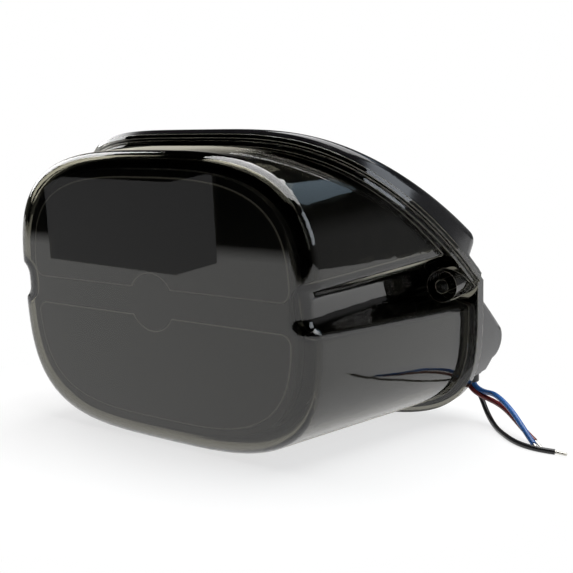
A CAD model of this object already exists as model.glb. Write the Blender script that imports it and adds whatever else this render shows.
import math
import bpy
from mathutils import Matrix, Vector


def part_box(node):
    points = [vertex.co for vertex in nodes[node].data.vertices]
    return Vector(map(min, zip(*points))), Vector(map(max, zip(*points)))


# A smoked motorcycle tail light standing on a white table, as a plain studio product shot.
# Lengths are in metres, in the part's own frame. Angles are in degrees.

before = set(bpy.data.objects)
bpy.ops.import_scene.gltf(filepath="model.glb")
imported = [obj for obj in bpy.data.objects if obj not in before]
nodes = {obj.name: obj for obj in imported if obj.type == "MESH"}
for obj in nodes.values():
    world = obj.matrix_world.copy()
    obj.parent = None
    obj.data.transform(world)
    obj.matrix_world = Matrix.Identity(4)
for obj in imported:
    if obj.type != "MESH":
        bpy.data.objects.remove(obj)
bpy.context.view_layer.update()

WHITE = (1.0, 1.0, 1.0, 1.0)

# ---- camera, measured from the middle of the face ----
CAMERA_AZIMUTH = 36.0
CAMERA_ELEVATION = 11.55
CAMERA_ROLL = -2.34
CAMERA_DISTANCE = 0.3382
CAMERA_SHIFT = (0.0493, 0.0060)     # the aim point lies this far right and up of the face's middle
CAMERA_LENS = 59.63                 # millimetres, like the sensor
SENSOR_WIDTH = 36.0
CLIP_START = 0.01
FACE_MIDDLE_Z = 0.003

# ---- table ----
FLOOR_SIZE = 8.0
RIM_BEHIND_FACE = 0.006             # the rim touches the table this far behind the face
RIM_HEIGHT = -0.0500
TABLE_FRONT = 0.215                 # the white table ends this far in front of the face
TABLE_FRONT_FADE = 0.03             # and turns dark over this length
TABLE_ROUGHNESS = 0.7
TABLE_TONES = ((0.93, 0.93, 0.93), (0.95, 0.95, 0.95))
TABLE_REFLECTED = 0.98              # even brightness of the table in reflections
BEYOND_TABLE = (0.004, 0.004, 0.005, 1.0)
SHADOW_MIDDLE = (0.0, -0.060, -0.055)
CLEAR_OF_SHADOW = (0.09, 0.15)      # the table fades to pure white between these distances from there
SHADOW_LIFT = 0.70                  # share of pure white mixed into the shadow itself

# ---- dark box in front of the face, seen only in its reflection ----
BOX_LEFT = (-0.271, -0.285)
BOX_NEAR = (-0.150, -0.277)
BOX_RIGHT = (-0.141, -0.306)
BOX_HEIGHT = 0.056
BOX_GREY = (0.30, 0.30, 0.31, 1.0)

# ---- dark room with a pale back wall, seen only in reflections ----
ROOM_DARK = 0.004
BACK_WALL = 0.16
BACK_WALL_TURN = (-0.05, 0.45)      # dark turns to pale as the direction's Y goes from one to the other
CEILING_TURN = (0.16, 0.42)         # the wall darkens as the direction's Z goes from one to the other
CEILING_SHARE = 0.02                # what is left of its brightness up there

# ---- softboxes: name, place, width and height, watts, colour ----
SOFTBOXES = (
    ("overhead_softbox", (0.05, 0.25, 0.95), (1.3, 1.0), 19.0, (1.0, 1.0, 1.0)),
    ("window_softbox", (0.26, 0.66, 0.66), (0.40, 0.20), 0.22, (0.62, 0.82, 1.0)),
    ("left_softbox", (-0.95, 0.15, 0.45), (0.5, 0.7), 5.0, (1.0, 1.0, 1.0)),
    ("right_softbox", (1.0, 0.35, 0.5), (0.5, 0.6), 3.0, (0.86, 0.92, 1.0)),
)
SOFTBOX_TARGET = (0.0, -0.04, 0.0)

# ---- smoked plastic: per metre it absorbs the density times one minus the colour ----
SMOKE_DENSITY = 620.0
SMOKE_COLOUR = (0.44, 0.43, 0.37, 1.0)
PLASTIC_IOR = 1.58
PLASTIC_TINT = (0.97, 0.965, 0.95, 1.0)
EDGE_HAZE = (0.50, 0.48, 0.40, 1.0)
SHARP_EDGE_HAZE = 0.5               # share of haze on the sharp edges
GRAZING_HAZE = 0.7                  # share of haze where the surface is seen edge-on
GRAZING_TURN = (0.80, 0.96)         # how edge-on the haze starts and is full
SMOKE_EDGE_LOOK = 0.0004            # edges are shaded as if rounded by this radius

# ---- light panels behind the smoke ----
PANEL_BLACK = (0.011, 0.011, 0.011, 1.0)
PANEL_RIM = (0.40, 0.39, 0.35, 1.0)
PANEL_RIM_WIDTH = 0.0009
RIM_GLOW = 0.28

# ---- other finishes ----
NOISE_ROUGHNESS = 0.55
TONE_STOPS = (0.3, 0.7)             # two-tone noise is all dark below the first, all light above the second
MOULDED_IOR = 1.5
FINE_GRAIN = 0.000004               # depths of surface grain
RUBBER_GRAIN = 0.00004
METAL_GRAIN = 0.00002

# ---- sockets of the Mix node when it mixes colours ----
MIX_SHARE = 0
MIX_FIRST = 6
MIX_SECOND = 7
MIX_RESULT = 2


# ---- node helpers ----
def new_material(name):
    material = bpy.data.materials.new(name)
    material.use_nodes = True
    tree = material.node_tree
    tree.nodes.clear()
    output = tree.nodes.new("ShaderNodeOutputMaterial")
    return material, tree, output


def add(tree, kind, **inputs):
    """A new node with its input sockets set by name; spaces are written as underscores."""
    node = tree.nodes.new(kind)
    for name, value in inputs.items():
        node.inputs[name.replace("_", " ")].default_value = value
    return node


def object_coordinates(tree):
    return tree.nodes.new("ShaderNodeTexCoord").outputs["Object"]


def noise(tree, scale, detail=3.0):
    node = add(tree, "ShaderNodeTexNoise", Scale=scale, Detail=detail, Roughness=NOISE_ROUGHNESS)
    tree.links.new(object_coordinates(tree), node.inputs["Vector"])
    return node.outputs["Fac"]


def mapped(tree, value, source=(0.0, 1.0), target=(0.0, 1.0), smooth=False):
    """Maps one range onto another; values outside it are held at its ends."""
    node = add(tree, "ShaderNodeMapRange", From_Min=source[0], From_Max=source[1])
    node.inputs["To Min"].default_value = target[0]
    node.inputs["To Max"].default_value = target[1]
    if smooth:
        node.interpolation_type = "SMOOTHSTEP"
    tree.links.new(value, node.inputs["Value"])
    return node.outputs["Result"]


def two_tone(tree, value, dark, light):
    """Turns a 0 to 1 value into a colour between two tones."""
    ramp = tree.nodes.new("ShaderNodeValToRGB")
    for element, tone, stop in zip(ramp.color_ramp.elements, (dark, light), TONE_STOPS):
        element.color = (*tone, 1.0)
        element.position = stop
    tree.links.new(value, ramp.inputs["Fac"])
    return ramp.outputs["Color"]


def bump(tree, height, depth, strength=0.3):
    node = add(tree, "ShaderNodeBump", Strength=strength, Distance=depth)
    tree.links.new(height, node.inputs["Height"])
    return node.outputs["Normal"]


def times(tree, first, second):
    """Multiplies two values; each is a socket or a plain number."""
    node = tree.nodes.new("ShaderNodeMath")
    node.operation = "MULTIPLY"
    for index, value in enumerate((first, second)):
        if isinstance(value, float):
            node.inputs[index].default_value = value
        else:
            tree.links.new(value, node.inputs[index])
    return node.outputs["Value"]


def mixed(tree, share, first, second):
    """Blends two shaders: a share of 0 gives the first, 1 the second."""
    node = tree.nodes.new("ShaderNodeMixShader")
    tree.links.new(share, node.inputs["Fac"])
    tree.links.new(first, node.inputs[1])
    tree.links.new(second, node.inputs[2])
    return node.outputs["Shader"]


def edge_share(tree, radius, reach):
    """0 on flat ground, 1 on the edges of a piece: how far a rounded normal leans from the true one."""
    soft = add(tree, "ShaderNodeBevel", Radius=radius)
    true = tree.nodes.new("ShaderNodeNewGeometry")
    match = tree.nodes.new("ShaderNodeVectorMath")
    match.operation = "DOT_PRODUCT"
    tree.links.new(soft.outputs["Normal"], match.inputs[0])
    tree.links.new(true.outputs["Normal"], match.inputs[1])
    return mapped(tree, match.outputs["Value"], (1.0, 1.0 - reach))


# ---- materials ----
def moulded(name, colour, roughness, grain=900.0, grain_depth=0.00002, tone=0.25):
    """Moulded plastic or rubber: slightly uneven colour and gloss over a fine grain."""
    material, tree, output = new_material(name)
    surface = add(tree, "ShaderNodeBsdfPrincipled", IOR=MOULDED_IOR)
    dark = tuple(channel * (1.0 - tone) for channel in colour)
    light = tuple(min(1.0, channel * (1.0 + tone)) for channel in colour)
    patches = two_tone(tree, noise(tree, scale=60.0), dark, light)
    gloss = mapped(tree, noise(tree, scale=140.0), target=(roughness * 0.8, roughness * 1.25))
    tree.links.new(patches, surface.inputs["Base Color"])
    tree.links.new(gloss, surface.inputs["Roughness"])
    tree.links.new(bump(tree, noise(tree, grain), grain_depth), surface.inputs["Normal"])
    tree.links.new(surface.outputs["BSDF"], output.inputs["Surface"])
    return material


def wire_cover(name, colour, roughness=0.3):
    return moulded(name, colour, roughness, grain=2200.0, grain_depth=0.00003)


def metal(name, colour, roughness, grain=1500.0, squeeze=(1.0, 1.0, 12.0)):
    """Metal with fine drawn lines, packed closest along the axis that is squeezed most."""
    material, tree, output = new_material(name)
    surface = add(tree, "ShaderNodeBsdfPrincipled", Metallic=1.0)
    mapping = add(tree, "ShaderNodeMapping", Scale=squeeze)
    tree.links.new(object_coordinates(tree), mapping.inputs["Vector"])
    lines = add(tree, "ShaderNodeTexNoise", Scale=grain, Detail=2.0)
    tree.links.new(mapping.outputs["Vector"], lines.inputs["Vector"])
    dark = tuple(channel * 0.8 for channel in colour)
    gloss = mapped(tree, lines.outputs["Fac"], target=(roughness * 0.7, roughness * 1.3))
    tree.links.new(two_tone(tree, lines.outputs["Fac"], dark, colour), surface.inputs["Base Color"])
    tree.links.new(gloss, surface.inputs["Roughness"])
    tree.links.new(bump(tree, lines.outputs["Fac"], METAL_GRAIN), surface.inputs["Normal"])
    tree.links.new(surface.outputs["BSDF"], output.inputs["Surface"])
    return material


def light_panel():
    """A dark light panel whose rim catches a little light, so its outline shows through the smoke."""
    material, tree, output = new_material("smoke_light_panel")
    surface = add(tree, "ShaderNodeBsdfPrincipled", IOR=MOULDED_IOR, Roughness=0.4)
    rim = tree.nodes.new("ShaderNodeMix")
    rim.data_type = "RGBA"
    rim.inputs[MIX_FIRST].default_value = PANEL_BLACK
    rim.inputs[MIX_SECOND].default_value = PANEL_RIM
    outline = edge_share(tree, PANEL_RIM_WIDTH, reach=0.07)
    tree.links.new(outline, rim.inputs[MIX_SHARE])
    tree.links.new(rim.outputs[MIX_RESULT], surface.inputs["Base Color"])
    surface.inputs["Emission Color"].default_value = PANEL_RIM
    tree.links.new(times(tree, outline, RIM_GLOW), surface.inputs["Emission Strength"])
    tree.links.new(bump(tree, noise(tree, scale=300.0), depth=0.000003), surface.inputs["Normal"])
    tree.links.new(surface.outputs["BSDF"], output.inputs["Surface"])
    return material


def smoked_plastic():
    """Clear polycarbonate with a smoke tint through its thickness and pale, hazy edges."""
    material, tree, output = new_material("smoked_polycarbonate")
    surface = add(tree, "ShaderNodeBsdfPrincipled", Transmission_Weight=1.0, IOR=PLASTIC_IOR)
    surface.inputs["Base Color"].default_value = PLASTIC_TINT
    gloss = mapped(tree, noise(tree, scale=35.0, detail=4.0), target=(0.0, 0.02))
    tree.links.new(gloss, surface.inputs["Roughness"])

    edge = add(tree, "ShaderNodeBevel", Radius=SMOKE_EDGE_LOOK)
    flow = add(tree, "ShaderNodeBump", Strength=0.05, Distance=0.00005)
    tree.links.new(noise(tree, scale=22.0, detail=1.0), flow.inputs["Height"])
    tree.links.new(edge.outputs["Normal"], flow.inputs["Normal"])
    tree.links.new(flow.outputs["Normal"], surface.inputs["Normal"])

    haze = add(tree, "ShaderNodeBsdfDiffuse", Color=EDGE_HAZE)
    view = add(tree, "ShaderNodeLayerWeight", Blend=0.5)
    grazing = mapped(tree, view.outputs["Facing"], GRAZING_TURN, (0.0, GRAZING_HAZE), smooth=True)
    sharp = times(tree, edge_share(tree, radius=0.0006, reach=0.25), SHARP_EDGE_HAZE)
    hazy = mixed(tree, grazing, surface.outputs["BSDF"], haze.outputs["BSDF"])
    hazy = mixed(tree, sharp, hazy, haze.outputs["BSDF"])
    tree.links.new(hazy, output.inputs["Surface"])

    absorb = add(tree, "ShaderNodeVolumeAbsorption", Color=SMOKE_COLOUR, Density=SMOKE_DENSITY)
    tree.links.new(absorb.outputs["Volume"], output.inputs["Volume"])
    return material


def clear_plastic(name, tint, roughness=0.02):
    material, tree, output = new_material(name)
    surface = add(tree, "ShaderNodeBsdfPrincipled", Transmission_Weight=1.0, IOR=PLASTIC_IOR)
    surface.inputs["Base Color"].default_value = (*tint, 1.0)
    gloss = mapped(tree, noise(tree, scale=50.0), target=(roughness, roughness * 2.5))
    ripple = bump(tree, noise(tree, scale=120.0), depth=0.00002, strength=0.1)
    tree.links.new(gloss, surface.inputs["Roughness"])
    tree.links.new(ripple, surface.inputs["Normal"])
    tree.links.new(surface.outputs["BSDF"], output.inputs["Surface"])
    return material


def circuit_board():
    """Green solder mask with paler copper tracks just under it."""
    material, tree, output = new_material("solder_mask")
    surface = add(tree, "ShaderNodeBsdfPrincipled", Roughness=0.3, Coat_Weight=0.4)
    tracks = add(tree, "ShaderNodeTexBrick", Scale=160.0)
    tracks.inputs["Color1"].default_value = (0.012, 0.10, 0.035, 1.0)
    tracks.inputs["Color2"].default_value = (0.015, 0.12, 0.045, 1.0)
    tracks.inputs["Mortar"].default_value = (0.05, 0.24, 0.09, 1.0)
    tree.links.new(object_coordinates(tree), tracks.inputs["Vector"])
    tree.links.new(tracks.outputs["Color"], surface.inputs["Base Color"])
    tree.links.new(bump(tree, tracks.outputs["Fac"], depth=0.00003), surface.inputs["Normal"])
    tree.links.new(surface.outputs["BSDF"], output.inputs["Surface"])
    return material


def give_materials():
    black_gloss = moulded("gloss_black_housing", (0.008, 0.008, 0.009), 0.14, 500.0, FINE_GRAIN)
    black_matt = moulded("black_moulding", (0.010, 0.010, 0.010), 0.42, grain_depth=FINE_GRAIN, tone=0.1)
    rubber = moulded("soft_rubber", (0.014, 0.014, 0.014), 0.5, grain=1800.0, grain_depth=RUBBER_GRAIN)
    panel = light_panel()
    board = circuit_board()
    steel = metal("zinc_steel", (0.62, 0.62, 0.60), 0.3)
    by_node = {
        "lens": smoked_plastic(),
        "plate_window": clear_plastic("clear_window", (0.96, 0.97, 0.97)),
        "led_domes": clear_plastic("red_silicone", (0.85, 0.25, 0.22), 0.05),
        "lens_seal": rubber,
        "inner_shroud": moulded("black_liner", (0.006, 0.006, 0.006), 0.6, grain_depth=FINE_GRAIN, tone=0.1),
        "panel_frame": black_matt,
        "reflector_tray": black_gloss,
        "rear_housing": black_gloss,
        "upper_panel": panel,
        "lower_panel": panel,
        "led_board": board,
        "plate_light_board": board,
        "tail_leds": moulded("led_package", (0.75, 0.74, 0.70), 0.35),
        "plate_leds": moulded("led_package_plate", (0.78, 0.77, 0.74), 0.35),
        "heat_sink": metal("extruded_aluminium", (0.78, 0.79, 0.80), 0.35),
        "capacitor": metal("can_aluminium", (0.72, 0.72, 0.74), 0.25),
        "board_screws": steel,
        "plate_board_screws": steel,
        "driver_chip": moulded("chip_epoxy", (0.02, 0.02, 0.02), 0.5),
        "resistors": moulded("resistor_ceramic", (0.03, 0.03, 0.035), 0.4),
        "diodes": moulded("diode_epoxy", (0.025, 0.025, 0.025), 0.5),
        "mounting_bushes": moulded("bush_rubber", (0.010, 0.010, 0.010), 0.22),
        "vent_plug": rubber,
        "wire_grommet": rubber,
        "wire_sleeve": moulded("sleeve_black", (0.012, 0.012, 0.012), 0.35),
        "cable_tie": moulded("tie_nylon", (0.015, 0.015, 0.015), 0.4),
        "black_wire": wire_cover("pvc_black", (0.010, 0.010, 0.011), 0.28),
        "blue_wire": wire_cover("pvc_blue", (0.025, 0.115, 0.36)),
        "red_wire": wire_cover("pvc_red", (0.16, 0.016, 0.014)),
        "tinned_wire_ends": metal("tinned_strands", (0.70, 0.68, 0.62), 0.35, 2600.0, (1.0, 6.0, 6.0)),
        "solder_joints": metal("solder", (0.74, 0.74, 0.72), 0.2),
    }
    for name, obj in nodes.items():
        for slot in obj.material_slots:
            slot.material = by_node[name]


# ---- stage ----
def stage_quad(name, corners, material):
    """A flat four-cornered face that is part of the studio, not of the object."""
    mesh = bpy.data.meshes.new(name)
    mesh.from_pydata(corners, [], [(0, 1, 2, 3)])
    obj = bpy.data.objects.new(name, mesh)
    bpy.context.collection.objects.link(obj)
    obj.data.materials.append(material)


def table_height(y):
    """The table is a sloping plane that touches the rim of the face and the lower flange."""
    low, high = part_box("lens")
    flange_height = low[2]
    rim_y = low[1] + RIM_BEHIND_FACE
    slope = (flange_height - RIM_HEIGHT) / (high[1] - rim_y)
    return flange_height + slope * y


def floor_material(front_y):
    """A white table: pure white clear of the object, and dark past its front edge in reflections."""
    material, tree, output = new_material("white_table")
    table = add(tree, "ShaderNodeBsdfPrincipled", Roughness=TABLE_ROUGHNESS)
    tree.links.new(two_tone(tree, noise(tree, scale=3.0), *TABLE_TONES), table.inputs["Base Color"])
    white = add(tree, "ShaderNodeEmission", Color=WHITE, Strength=1.0)
    even = add(tree, "ShaderNodeEmission", Color=WHITE, Strength=TABLE_REFLECTED)
    dark = add(tree, "ShaderNodeBsdfDiffuse", Color=BEYOND_TABLE)

    position = tree.nodes.new("ShaderNodeNewGeometry").outputs["Position"]
    split = tree.nodes.new("ShaderNodeSeparateXYZ")
    tree.links.new(position, split.inputs["Vector"])
    beyond = mapped(tree, split.outputs["Y"], (front_y, front_y - TABLE_FRONT_FADE))
    distance = tree.nodes.new("ShaderNodeVectorMath")
    distance.operation = "DISTANCE"
    distance.inputs[1].default_value = SHADOW_MIDDLE
    tree.links.new(position, distance.inputs[0])
    clear = mapped(tree, distance.outputs["Value"], CLEAR_OF_SHADOW, (SHADOW_LIFT, 1.0), smooth=True)

    ray = tree.nodes.new("ShaderNodeLightPath")
    seen_white = times(tree, ray.outputs["Is Camera Ray"], clear)
    seen_dark = times(tree, ray.outputs["Is Glossy Ray"], beyond)
    surface = mixed(tree, seen_white, table.outputs["BSDF"], white.outputs["Emission"])
    surface = mixed(tree, ray.outputs["Is Glossy Ray"], surface, even.outputs["Emission"])
    surface = mixed(tree, seen_dark, surface, dark.outputs["BSDF"])
    tree.links.new(surface, output.inputs["Surface"])
    return material


def make_floor():
    half = 0.5 * FLOOR_SIZE
    front_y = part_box("lens")[0][1] - TABLE_FRONT
    square = ((-half, -half), (half, -half), (half, half), (-half, half))
    corners = [(x, y, table_height(y)) for x, y in square]
    stage_quad("floor", corners, floor_material(front_y))


def make_reflected_box():
    """A dark box on the table in front, seen only as a reflection in the face."""
    material, tree, output = new_material("reflected_box")
    grey = add(tree, "ShaderNodeEmission", Color=BOX_GREY, Strength=1.0)
    clear = tree.nodes.new("ShaderNodeBsdfTransparent")
    ray = tree.nodes.new("ShaderNodeLightPath")
    surface = mixed(tree, ray.outputs["Is Glossy Ray"], clear.outputs["BSDF"], grey.outputs["Emission"])
    tree.links.new(surface, output.inputs["Surface"])
    foot = [(x, y, table_height(y)) for x, y in (BOX_LEFT, BOX_NEAR, BOX_RIGHT)]
    head = [(x, y, z + BOX_HEIGHT) for x, y, z in foot]
    stage_quad("box_front", (foot[0], foot[1], head[1], head[0]), material)
    stage_quad("box_side", (foot[1], foot[2], head[2], head[1]), material)


def make_world():
    """White behind the object for the camera; a dark room with a pale back wall for reflections."""
    world = bpy.data.worlds.new("studio")
    bpy.context.scene.world = world
    world.use_nodes = True
    tree = world.node_tree
    tree.nodes.clear()
    output = tree.nodes.new("ShaderNodeOutputWorld")
    white = add(tree, "ShaderNodeBackground", Color=WHITE, Strength=1.0)
    room = add(tree, "ShaderNodeBackground", Strength=1.0)
    direction = tree.nodes.new("ShaderNodeTexCoord")
    split = tree.nodes.new("ShaderNodeSeparateXYZ")
    tree.links.new(direction.outputs["Generated"], split.inputs["Vector"])
    wall = mapped(tree, split.outputs["Y"], BACK_WALL_TURN, (ROOM_DARK, BACK_WALL))
    ceiling = mapped(tree, split.outputs["Z"], CEILING_TURN, (1.0, CEILING_SHARE))
    tree.links.new(times(tree, wall, ceiling), room.inputs["Color"])
    ray = tree.nodes.new("ShaderNodeLightPath").outputs["Is Camera Ray"]
    backdrop = mixed(tree, ray, room.outputs["Background"], white.outputs["Background"])
    tree.links.new(backdrop, output.inputs["Surface"])


def make_lights():
    for name, place, size, power, colour in SOFTBOXES:
        light = bpy.data.lights.new(name, "AREA")
        light.shape = "RECTANGLE"
        light.size, light.size_y = size
        light.energy = power
        light.color = colour
        obj = bpy.data.objects.new(name, light)
        bpy.context.collection.objects.link(obj)
        obj.location = place
        aim = Vector(SOFTBOX_TARGET) - Vector(place)
        obj.rotation_euler = aim.to_track_quat("-Z", "Y").to_euler()


def make_camera():
    azimuth = math.radians(CAMERA_AZIMUTH)
    elevation = math.radians(CAMERA_ELEVATION)
    roll = math.radians(CAMERA_ROLL)
    level = math.cos(elevation)
    back = Vector((math.sin(azimuth) * level, -math.cos(azimuth) * level, math.sin(elevation)))
    level_right = Vector((math.cos(azimuth), math.sin(azimuth), 0.0))
    level_up = back.cross(level_right)
    right = level_right * math.cos(roll) + level_up * math.sin(roll)
    up = level_up * math.cos(roll) - level_right * math.sin(roll)
    face = Vector((0.0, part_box("lens")[0][1], FACE_MIDDLE_Z))
    place = face + right * CAMERA_SHIFT[0] + up * CAMERA_SHIFT[1] + back * CAMERA_DISTANCE
    data = bpy.data.cameras.new("camera")
    data.lens = CAMERA_LENS
    data.sensor_width = SENSOR_WIDTH
    data.clip_start = CLIP_START
    camera = bpy.data.objects.new("camera", data)
    bpy.context.collection.objects.link(camera)
    rows = [(right[i], up[i], back[i], place[i]) for i in range(3)] + [(0.0, 0.0, 0.0, 1.0)]
    camera.matrix_world = Matrix(rows)
    bpy.context.scene.camera = camera


give_materials()
make_floor()
make_reflected_box()
make_world()
make_lights()
make_camera()
bpy.context.scene.view_settings.view_transform = "Standard"
